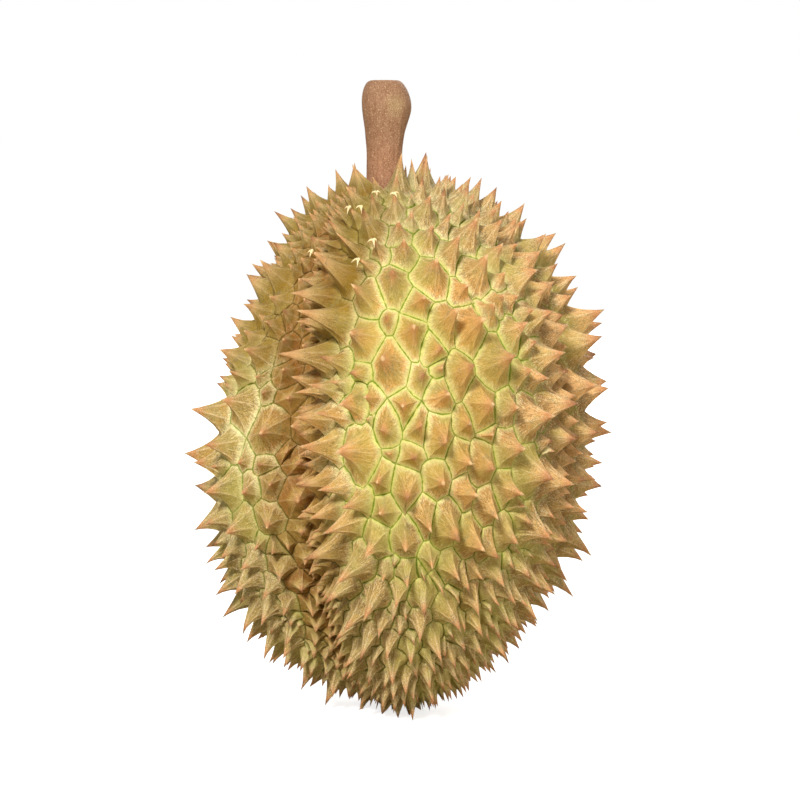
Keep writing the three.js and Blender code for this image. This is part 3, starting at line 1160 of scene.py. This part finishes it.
def rind_material(look):
    """Paint the rind: green valleys, cream feet, tan faces, fibrous orange tips and olive scurf, with
    painted shade in its grooves and between its thorns and a painted glow in the middle of the front.
    """
    material, tree, surface = new_material("durian rind")
    skin = read_skin(tree)
    zones = rind_zones(skin)
    tone = face_tone(look, skin, zones)
    tone = fibre_tone(look, skin, zones, tone)
    tone = valley_tone(look, skin, zones, tone)
    plug(tree, tone, surface.inputs["Base Color"])
    plug(tree, rise(skin.specks["Grain"], 0.3, 0.7, 0.56, 0.76, "LINEAR"), surface.inputs["Roughness"])
    surface.inputs["Specular IOR Level"].default_value = 0.32
    relief = skin.specks["Grain"] * 0.35 + skin.fibres["Streak"] * rise(skin.height, 0, 0.3, 0.6, 1)
    raise_skin(tree, surface, relief, 0.0005, 0.55)
    set_out(tree)
    return material


def raise_skin(tree, surface, relief, depth, force):
    """Raise a fine relief on a surface, to a depth in metres and with a force from 0 to 1."""
    inputs = {"Height": relief, "Distance": depth, "Strength": force}
    plug(tree, add(tree, "ShaderNodeBump", inputs, "Normal"), surface.inputs["Normal"])


def bark_material(look):
    """Paint the stalk: reddish-brown bark with fine grain, pale flecks and a greenish patch."""
    material, tree, surface = new_material("stalk bark")
    place = add(tree, "ShaderNodeTexCoord", {}, "Object")
    specks = place_group(tree, speckle_group(), {
        "Place": place * (1, 1, 0.7), "Specks per metre": BARK_SPECKS, "Dark share": 1.0, "Pale share": 1.0,
    })
    fibres = place_group(tree, streak_group(), {"Along": place * (1, 1, 0.22), "Fineness": BARK_FIBRES})
    blotch = grain(tree, place, BARK_BLOTCHES, 3.0, 0.6)
    level = place.part("Z")
    patch = ((place - tuple(look.patch_middle)) * (1, 0.4, 0.8)).size()
    flat = add(tree, "ShaderNodeNewGeometry", {}, "Normal").part("Z")
    ring = grain(tree, (place - tuple(look.end_middle)) * (1, 1, 0), WOOD_RINGS, 3.0, 0.6)
    cut_tone = blend(shade(look.cut_end), shade(look.dark_bark), rise(ring, 0.45, 0.62) * 0.6)
    tone = coat(shade(look.bark), (
        (look.dark_bark, rise(blotch, 0.45, 0.7) * 0.4),
        (look.red_bark, rise(level, *RED_BARK_LEVELS) * 0.6),
        (look.patch, rise(patch + blotch * 0.006, 0.0095, 0.003) * 0.4),
        (look.dark_bark, specks["Dark"] * 0.75),
        (look.pale_bark, specks["Pale"] * 0.75),
        (look.dark_bark, fibres["Dark"] * 0.35),
        (cut_tone, rise(flat, 0.75, 0.95) * rise(level, *CUT_END_LEVELS)),
    ))
    plug(tree, tone, surface.inputs["Base Color"])
    plug(tree, rise(specks["Grain"], 0.3, 0.7, 0.6, 0.8, "LINEAR"), surface.inputs["Roughness"])
    surface.inputs["Specular IOR Level"].default_value = 0.25
    raise_skin(tree, surface, specks["Grain"] * 0.6 + fibres["Streak"] * 0.8, 0.0006, 0.6)
    set_out(tree)
    return material


def shred_material(look):
    """Paint the torn shreds of thorn tip: dry cream fibre."""
    material, tree, surface = new_material("torn thorn fibre")
    place = add(tree, "ShaderNodeTexCoord", {}, "Object")
    fibres = place_group(tree, streak_group(), {"Along": place, "Fineness": SHRED_FIBRES})
    tone = blend(shade(look.fibre), shade(look.shaded_fibre), fibres["Dark"] * 0.7)
    plug(tree, tone, surface.inputs["Base Color"])
    surface.inputs["Roughness"].default_value = 0.7
    surface.inputs["Specular IOR Level"].default_value = 0.3
    set_out(tree)
    return material


# ---------------------------------------------------------------- settings


class RindSettings(PropertyGroup):
    """Sizes and colours of the rind."""

    bank_width: length("Bank width", "Width of the steep bank beside each valley line", 0.0006)
    bank_height: length("Bank height", "Height of the bank beside each valley line", 0.0008)
    fine_girth: length("Fine girth", "Thorns with a foot of less than this radius get plainer sides", 0.004)
    valley_waver: length("Valley waver", "How far the valley lines stray from straight", 0.0012)
    flare: share("Flare", "How hollow a thorn's outline is from foot to tip, 1 is a plain cone", 1.8, 4)
    low_flare: share("Low flare", "How much hollower the lower thorns are", 0.25, 2)
    bulge: share("Bulge", "How far the plumpest faces swell between their two ridges", 0.03)
    roundness: share("Roundness", "How round a thorn becomes towards its tip", 0.25)
    bend: share("Bend", "How late along its length a leaning thorn bends over", 1.7, 4)
    curl: share("Curl", "How far the wayward tips hook to one side", 0.16)
    brow_stretch: share("Brow stretch", "How much longer thorns grow beside the deep groove", 0.5, 2)
    brow_lean: length("Brow lean", "How far the tips of those thorns lean over the groove", 0.005)
    seed: seed("Picks which thorns hook and how each is tinted", 7)
    face: colour("Face", "Plain tan of a thorn's faces", 210, 164, 86)
    warm_face: colour("Warm face", "Orange tan of some thorns", 226, 170, 92)
    crown_face: colour("Crown face", "Greenish tan at the crown", 186, 155, 98)
    left_face: colour("Left face", "Olive tan of the left lobe", 190, 156, 74)
    right_face: colour("Right face", "Pinkish tan of the right side", 234, 182, 118)
    low_face: colour("Low face", "Olive brown of the lower thorns", 188, 158, 88)
    # Painted shade: the mustard brown laid where shade falls in the grooves
    groove_shade: colour("Groove face", "Mustard brown in the grooves", 152, 96, 28)
    # Partly the left lobe's own olive, partly painted shade on its upper part
    upper_left_olive_shade: colour("Upper left face", "Dark olive of the thorns high on the left", 156, 130, 66)
    # Painted light on the thorns that stand out of the grooves
    sunlit_face: colour("Sunlit face", "Pale tan of thorns that stand out of the grooves", 232, 194, 132)
    # Painted shade: dark mustard laid between the thorns high on the left
    mustard: colour("Mustard", "Dark mustard between the thorns high on the left", 150, 116, 18)
    olive_face: colour("Olive face", "Greyish olive of the faces here and there", 176, 162, 98)
    # Painted shade: the brown that shade leaves between the crowded thorns
    deep: colour("Deep", "Brown between the crowded thorns on the right and below", 136, 92, 28)
    margin: colour("Margin", "Pale cream along the feet", 248, 236, 178)
    # Partly the ridges' own pale tan, partly a painted highlight along them
    ridge: colour("Ridge", "Pale tan along the ridges from foot to tip", 244, 212, 160)
    green_face: colour("Green face", "Green that shows through near some feet", 182, 174, 78)
    halo: colour("Halo", "Pale yellow green beside the valley lines", 218, 220, 114)
    valley: colour("Valley", "Bright green of the valley lines", 122, 144, 20)
    # Painted shade: brown of the valley lines where little light comes
    valley_line_shade: colour("Groove line", "Brown of the valley lines in the grooves", 104, 80, 24)
    low_valley: colour("Low valley", "Dull green of the lower valley lines", 104, 112, 36)
    dark_fibre: colour("Dark fibre", "Orange brown streaks below the tips", 194, 136, 70)
    # Tip and shaded side tip are a lit and a shaded copy of one colour: painted light in the middle of the
    # front, painted shade on the sides
    tip: colour("Tip", "Orange pink of the upper third in the middle of the front", 232, 168, 104)
    shaded_side_tip: colour("Side tip", "Reddish tan of the upper third elsewhere", 212, 142, 88)
    point: colour("Point", "Pale nub at the very tip", 244, 200, 142)
    dry_point: colour("Dry point", "Brown of the dried tips", 150, 92, 58)
    scurf: colour("Scurf", "Dark olive specks", 98, 88, 34)
    fleck: colour("Fleck", "Pale flecks", 244, 236, 200)
    stain: colour("Stain", "Greyish stains here and there", 150, 134, 104)


class StalkSettings(PropertyGroup):
    """Sizes and colours of the stalk."""

    groove_depth: length("Groove depth", "Depth of the shallow grooves down the bark", 0.0004)
    bark: colour("Bark", "Plain reddish brown of the bark", 160, 120, 90)
    dark_bark: colour("Dark bark", "Dark grain", 128, 84, 54)
    red_bark: colour("Red bark", "Redder bark near the fruit", 184, 130, 96)
    pale_bark: colour("Pale bark", "Pale flecks", 226, 190, 148)
    patch: colour("Patch", "Greenish patch on the knob", 190, 168, 118)
    cut_end: colour("Cut end", "Dry cut wood on top", 186, 140, 98)
    patch_middle: location("Patch middle", "Middle of the greenish patch", (-0.002, -0.011, 0.294))
    end_middle: location("End middle", "Middle of the cut end", (-0.0065, 0, 0.306))


class TornSettings(PropertyGroup):
    """Sizes and colours of the torn thorn tips."""

    shred_length: length("Shred length", "Length of the longest shred", 0.0056)
    shred_width: length("Shred width", "Width of a shred at its root", 0.0021)
    seed: seed("Picks how the shreds part", 4)
    fibre: colour("Fibre", "Dry cream fibre", 255, 236, 182)
    shaded_fibre: colour("Shaded fibre", "Browner fibre between", 222, 178, 112)


class StageSettings(PropertyGroup):
    """Camera, lamps and floor."""

    rise_angle: FloatProperty(
        name="Camera rise", description="Angle of the view above level", subtype="ANGLE",
        default=math.radians(6),
    )
    distance: length("Camera distance", "From the camera to the middle of the view", 1.3)
    view_height: length("View height", "Height of the middle of the view above the floor", 0.1515)
    field: length("Field", "Width of what the camera sees at that distance", 0.389)
    key_power: strength("Key lamp", "Power of the soft lamp high in front", 42.5)
    fill_power: strength("Fill lamp", "Power of the soft lamp on the right", 16)
    back_power: strength("Back lamp", "Power of the soft lamp behind", 26)
    sky: strength("Room light", "Strength of the even light all round", 0.3)
    room: colour("Room", "Faint warm tone of the even light", 255, 253, 248)
    floor: colour("Floor", "Plain pale floor", 250, 250, 250)
    floor_bounce: colour("Floor bounce", "How the floor colours the light it throws back", 182, 170, 142)
    floor_glow: strength("Floor glow", "What keeps the floor white to the camera", 0.75)


# ---------------------------------------------------------------- pieces


class DURIAN_OT_stage(Operator):
    """Set the pale floor, the soft lamps and the camera"""

    bl_idname = "durian.stage"
    bl_label = "Set the stage"

    def execute(self, context):
        look = context.scene.durian_stage
        for stray in [item for item in bpy.data.objects if item.type in {"CAMERA", "LIGHT"}]:
            bpy.data.objects.remove(stray)
        set_camera(context.scene, look)
        for name, power, width, place in LAMPS:
            set_lamp(name, getattr(look, power), width, place, look)
        set_room(context.scene, look)
        lay_floor(look)
        context.scene.view_settings.view_transform = "Standard"
        return {"FINISHED"}


def set_camera(scene, look):
    """Stand the camera in front of the fruit, a little above it."""
    data = bpy.data.cameras.new("front view")
    data.sensor_width = 36
    data.lens = data.sensor_width * look.distance / look.field
    data.clip_start = 0.01
    camera = bpy.data.objects.new("front view", data)
    scene.collection.objects.link(camera)
    target = Vector((0, 0, look.view_height))
    away = Vector((0, -math.cos(look.rise_angle), math.sin(look.rise_angle)))
    camera.location = target + away * look.distance
    camera.rotation_euler = (-away).to_track_quat("-Z", "Y").to_euler()
    scene.camera = camera


def set_lamp(name, power, width, place, look):
    """Hang one soft square lamp and turn it to the fruit."""
    data = bpy.data.lights.new(name, "AREA")
    data.energy = power
    data.size = width
    lamp = bpy.data.objects.new(name, data)
    lamp.location = place
    target = Vector((0, 0, look.view_height))
    lamp.rotation_euler = (target - lamp.location).to_track_quat("-Z", "Y").to_euler()
    bpy.context.scene.collection.objects.link(lamp)


def set_room(scene, look):
    """Light the room evenly, and show it white behind the fruit."""
    world = bpy.data.worlds.new("pale room")
    scene.world = world
    world.use_nodes = True
    tree = world.node_tree
    tree.nodes.clear()
    path = tree.nodes.new("ShaderNodeLightPath")
    seen = Wire(tree, path.outputs["Is Camera Ray"])
    seen = seen.highest(Wire(tree, path.outputs["Is Glossy Ray"]))
    seen = seen.highest(Wire(tree, path.outputs["Is Transmission Ray"]))
    tone = blend(shade(look.room), (1, 1, 1, 1), seen)
    light = {"Color": tone, "Strength": blend(look.sky, 1.0, seen)}
    back = add(tree, "ShaderNodeBackground", light, "Background")
    leave = tree.nodes.new("ShaderNodeOutputWorld")
    plug(tree, back, leave.inputs["Surface"])
    set_out(tree)


def lay_floor(look):
    """Lay a wide floor that looks white and keeps the fruit's soft shadow."""
    mesh = bpy.data.meshes.new("pale floor")
    corners = [(x * FLOOR_HALF, y * FLOOR_HALF, 0) for x, y in ((-1, -1), (1, -1), (1, 1), (-1, 1))]
    mesh.from_pydata(corners, [], [(0, 1, 2, 3)])
    floor = bpy.data.objects.new("pale_floor", mesh)
    bpy.context.scene.collection.objects.link(floor)
    material, tree, surface = new_material("pale floor")
    tree.nodes.remove(surface)
    path = tree.nodes.new("ShaderNodeLightPath")
    seen = Wire(tree, path.outputs["Is Camera Ray"])
    matt = add(tree, "ShaderNodeBsdfDiffuse", {"Color": shade(look.floor)}, "BSDF")
    dull = add(tree, "ShaderNodeBsdfDiffuse", {"Color": shade(look.floor_bounce)}, "BSDF")
    glow = add(tree, "ShaderNodeEmission", {"Color": (1, 1, 1, 1), "Strength": look.floor_glow}, "Emission")
    bright = add(tree, "ShaderNodeAddShader", {0: matt, 1: glow}, "Shader")
    both = add(tree, "ShaderNodeMixShader", {0: seen, 1: dull, 2: bright}, "Shader")
    leave = next(node for node in tree.nodes if node.type == "OUTPUT_MATERIAL")
    plug(tree, both, leave.inputs["Surface"])
    set_out(tree)
    mesh.materials.append(material)


class DURIAN_OT_rind(Operator):
    """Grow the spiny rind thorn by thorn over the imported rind"""

    bl_idname = "durian.rind"
    bl_label = "Grow the rind"

    def execute(self, context):
        look = context.scene.durian_rind
        socket, thorns = grow_thorns(look)
        material = rind_material(look)
        fine = side_pattern("fine side", SIDE_COLUMNS, FINE_ROWS)
        plain = side_pattern("plain side", UPPER_COLUMNS, PLAIN_ROWS)
        columns = side_columns(thorns)
        work = write_points("thorn sides", columns)
        seat = thorns[0]
        seat_top = min(corner.z for corner in seat.corners)
        growth = work.modifiers.new("thorns", "NODES")
        growth.node_group = thorn_tree()
        set_inputs(growth, {
            "Fine pattern": fine,
            "Plain pattern": plain,
            "Fine girth": look.fine_girth,
            "Material": material,
            "Bank width": look.bank_width,
            "Bank height": look.bank_height,
            "Valley waver": look.valley_waver,
            "Flare": look.flare,
            "Low flare": look.low_flare,
            "Bulge": look.bulge,
            "Roundness": look.roundness,
            "Bend": look.bend,
            "Curl": look.curl,
            "Seat middle": (socket.middle.x, socket.middle.y, seat_top),
            "Seat radius": socket.radius + SOCKET_MARGIN,
            "Seat depth": seat_top - socket.floor + SOCKET_MARGIN,
            "Atlas rows": float(math.ceil(math.sqrt(len(thorns)))),
            "Seed": look.seed,
        })
        piece = keep_result(work, "durian_rind", material)
        bpy.data.objects.remove(fine)
        bpy.data.objects.remove(plain)
        clear_layers(piece.data, RIND_LAYERS)
        print(f"{len(thorns)} thorns, {len(columns['tip'])} sides, {count_triangles(piece)} triangles")
        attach(piece, BODY)
        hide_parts(RIND_NODE)
        return {"FINISHED"}


def count_triangles(piece):
    """Count the triangles a mesh makes."""
    return sum(len(face.vertices) - 2 for face in piece.data.polygons)


class DURIAN_OT_stalk(Operator):
    """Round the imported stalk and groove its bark"""

    bl_idname = "durian.stalk"
    bl_label = "Make the stalk"

    def execute(self, context):
        look = context.scene.durian_stalk
        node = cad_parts[STALK_NODE]
        shape = bmesh.new()
        shape.from_mesh(node.data)
        bmesh.ops.remove_doubles(shape, verts=shape.verts, dist=WELD)
        bmesh.ops.join_triangles(
            shape, faces=shape.faces, angle_face_threshold=FLAT_ENOUGH,
            angle_shape_threshold=SQUARE_ENOUGH,
        )
        mesh = bpy.data.meshes.new("stalk work")
        shape.to_mesh(mesh)
        shape.free()
        work = bpy.data.objects.new("stalk work", mesh)
        context.scene.collection.objects.link(work)
        smooth = work.modifiers.new("rounding", "SUBSURF")
        smooth.levels = 2
        smooth.render_levels = 2
        material = bark_material(look)
        piece = keep_result(work, "durian_stalk", material)
        groove_bark(piece.data, look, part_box(STALK_NODE))
        piece.data.shade_smooth()
        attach(piece, BODY)
        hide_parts(STALK_NODE)
        return {"FINISHED"}


def groove_bark(mesh, look, box):
    """Press shallow lengthwise grooves and a fine grain into the bark."""
    low, high = box
    axis = Vector(((low.x + high.x) / 2, (low.y + high.y) / 2, 0))
    for vertex in mesh.vertices:
        level = vertex.co.z
        flat = Vector((vertex.co.x - axis.x, vertex.co.y - axis.y, 0))
        if flat.length < AXIS_RADIUS:
            continue
        way = flat.normalized()
        groove = noise.noise(way * GROOVES_ROUND + Vector((0, 0, level * GROOVES_UP)))
        fine = noise.noise(way * GRAIN_ROUND + Vector((0, 0, level * GRAIN_UP)))
        depth = (0.5 + 0.5 * groove + GRAIN_SHARE * fine) * look.groove_depth
        below_end = min(1.0, max(0.0, (high.z - level) / CUT_EDGE))
        vertex.co -= way * depth * below_end


class DURIAN_OT_torn_tips(Operator):
    """Fray the few thorn tips that were torn"""

    bl_idname = "durian.torn_tips"
    bl_label = "Fray the torn tips"

    def execute(self, context):
        look = context.scene.durian_torn
        thorns = grow_thorns(context.scene.durian_rind)[1]
        columns = {"root": [], "way": [], "reach": [], "width": []}
        for thorn in thorns:
            if thorn.is_torn:
                add_shreds(columns, thorn, look)
        material = shred_material(look)
        work = write_points("shreds", columns)
        growth = work.modifiers.new("shreds", "NODES")
        growth.node_group = shred_tree()
        set_inputs(growth, {"Material": material})
        piece = keep_result(work, "torn_tips", material)
        clear_layers(piece.data, set())
        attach(piece, BODY)
        return {"FINISHED"}


def add_shreds(columns, thorn, look):
    """List the shreds that part at one thorn's tip."""
    climb = (thorn.tip - thorn.middle).normalized()
    aside = climb.cross(Vector((0, 0, 1))).normalized()
    over = aside.cross(climb)
    for number in range(SHREDS_PER_TIP):
        turn = number * GOLDEN_TURN + look.seed
        luck = 0.5 + 0.5 * noise.noise(thorn.tip * SHRED_LUCK + Vector((turn, 0, 0)))
        parting = aside * math.cos(turn) + over * math.sin(turn)
        way = climb * SHRED_AHEAD + parting * (SHRED_ASIDE + ASIDE_SPREAD * luck)
        columns["root"].append(thorn.tip - climb * SHRED_ROOT)
        columns["way"].append(way)
        columns["reach"].append(look.shred_length * (SHORTEST_SHRED + (1 - SHORTEST_SHRED) * luck))
        columns["width"].append(look.shred_width * (NARROWEST_SHRED + (1 - NARROWEST_SHRED) * luck))


def shred_tree():
    """Build the nodes that draw each shred as a short drooping fibre."""
    tree, given = new_group(
        "Torn shreds", "GeometryNodeTree",
        [
            ("Shreds", "NodeSocketGeometry", None),
            ("Material", "NodeSocketMaterial", None),
            ("Steps", "NodeSocketInt", 6),
            ("Droop", "NodeSocketFloat", 0.7),
        ],
        [("Fibres", "NodeSocketGeometry")],
    )
    line = add(tree, "GeometryNodeMeshLine", {"Count": given["Steps"]})
    index = add(tree, "GeometryNodeInputIndex")
    step = index / (given["Steps"] - 1)
    stepped = store(line, "step", step, "FLOAT", "POINT")
    placed = add(tree, "GeometryNodeInstanceOnPoints", {"Points": given["Shreds"], "Instance": stepped})
    loose = add(tree, "GeometryNodeRealizeInstances", {"Geometry": placed})
    along = read_number(tree, "step")
    reach = read_number(tree, "reach")
    fall = add(tree, "ShaderNodeCombineXYZ", {"Z": along * along * given["Droop"] * reach * -1})
    spot = read_vector(tree, "root") + read_vector(tree, "way") * along * reach + fall
    bent = add(tree, "GeometryNodeSetPosition", {"Geometry": loose, "Position": spot})
    curve = add(tree, "GeometryNodeMeshToCurve", {"Mesh": bent})
    ring = add(tree, "GeometryNodeCurvePrimitiveCircle", {"Resolution": 6, "Radius": 1.0}, mode="RADIUS")
    thickness = read_number(tree, "width") * 0.5 * (1.05 - along)
    tube = add(tree, "GeometryNodeCurveToMesh", {
        "Curve": curve, "Profile Curve": ring, "Fill Caps": True, "Scale": thickness,
    })
    smooth = add(tree, "GeometryNodeSetShadeSmooth", {"Geometry": tube, "Shade Smooth": True})
    whole = add(tree, "GeometryNodeRealizeInstances", {"Geometry": smooth})
    painted = add(tree, "GeometryNodeSetMaterial", {"Geometry": whole, "Material": given["Material"]})
    end_group(tree, Fibres=painted)
    return tree


class DURIAN_PT_pieces(Panel):
    """The durian's pieces, in the order they are made"""

    bl_label = "Durian"
    bl_idname = "DURIAN_PT_pieces"
    bl_space_type = "VIEW_3D"
    bl_region_type = "UI"
    bl_category = "Durian"

    def draw(self, context):
        for operator, settings in PIECES:
            box = self.layout.box()
            box.operator(operator.bl_idname)
            group = getattr(context.scene, settings)
            for name in group.bl_rna.properties.keys():
                if name not in {"rna_type", "name"}:
                    box.prop(group, name)


PIECES = (
    (DURIAN_OT_stage, "durian_stage"),
    (DURIAN_OT_rind, "durian_rind"),
    (DURIAN_OT_stalk, "durian_stalk"),
    (DURIAN_OT_torn_tips, "durian_torn"),
)
SETTINGS = {
    "durian_stage": StageSettings,
    "durian_rind": RindSettings,
    "durian_stalk": StalkSettings,
    "durian_torn": TornSettings,
}


def register():
    """Register the settings, the operators and the panel."""
    for name, group in SETTINGS.items():
        bpy.utils.register_class(group)
        setattr(bpy.types.Scene, name, PointerProperty(type=group))
    for operator, _ in PIECES:
        bpy.utils.register_class(operator)
    bpy.utils.register_class(DURIAN_PT_pieces)


def unregister():
    """Take the panel, the operators and the settings away again."""
    bpy.utils.unregister_class(DURIAN_PT_pieces)
    for operator, _ in reversed(PIECES):
        bpy.utils.unregister_class(operator)
    for name, group in SETTINGS.items():
        delattr(bpy.types.Scene, name)
        bpy.utils.unregister_class(group)


def main():
    """Make every piece in order."""
    register()
    bpy.ops.durian.stage()
    bpy.ops.durian.rind()
    bpy.ops.durian.stalk()
    bpy.ops.durian.torn_tips()


if __name__ == "__main__":
    main()
